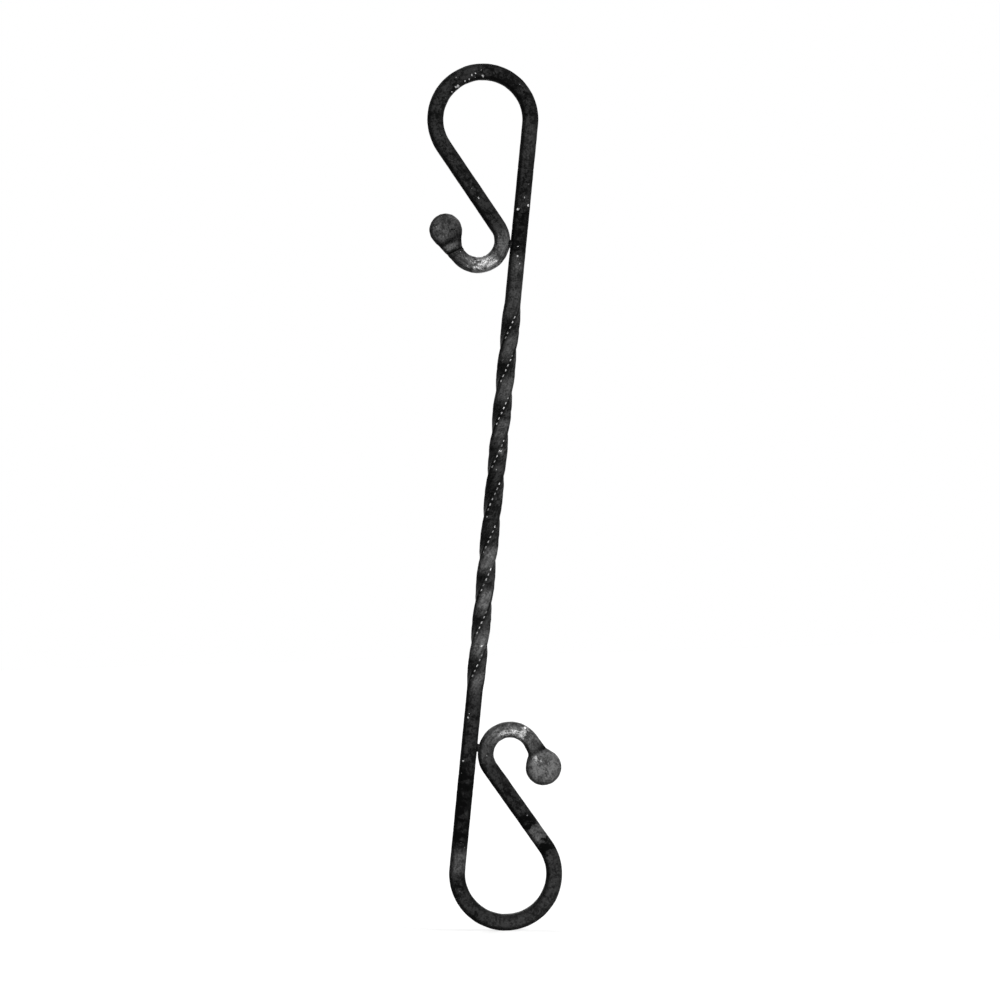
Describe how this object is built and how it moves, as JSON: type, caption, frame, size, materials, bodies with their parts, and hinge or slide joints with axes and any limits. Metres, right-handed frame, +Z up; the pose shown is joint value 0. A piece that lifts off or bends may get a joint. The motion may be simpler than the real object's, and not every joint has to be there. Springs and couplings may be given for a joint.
{
  "type": "baluster",
  "caption": "Wrought iron stair baluster of square bar, twisted in the middle, with a looped scroll and a flat coin at each end.",
  "frame": {"origin": "lowest point of the lower loop, halfway through the bar's thickness, where the baluster is welded to the bottom rail", "axes": "+Z up through the centres of both loops to the top rail, -Y towards the front, +X to the right as the front shows it, so both curls lie in the XZ plane"},
  "size_m": [0.1163, 0.019, 0.8698],
  "materials": {
    "forged_iron": "raw black forged iron with mill scale, rubbed to bare grey metal on the hooks and coins"
  },
  "bodies": {
    "root": {"baluster": "forged_iron"}
  },
  "joints": []
}
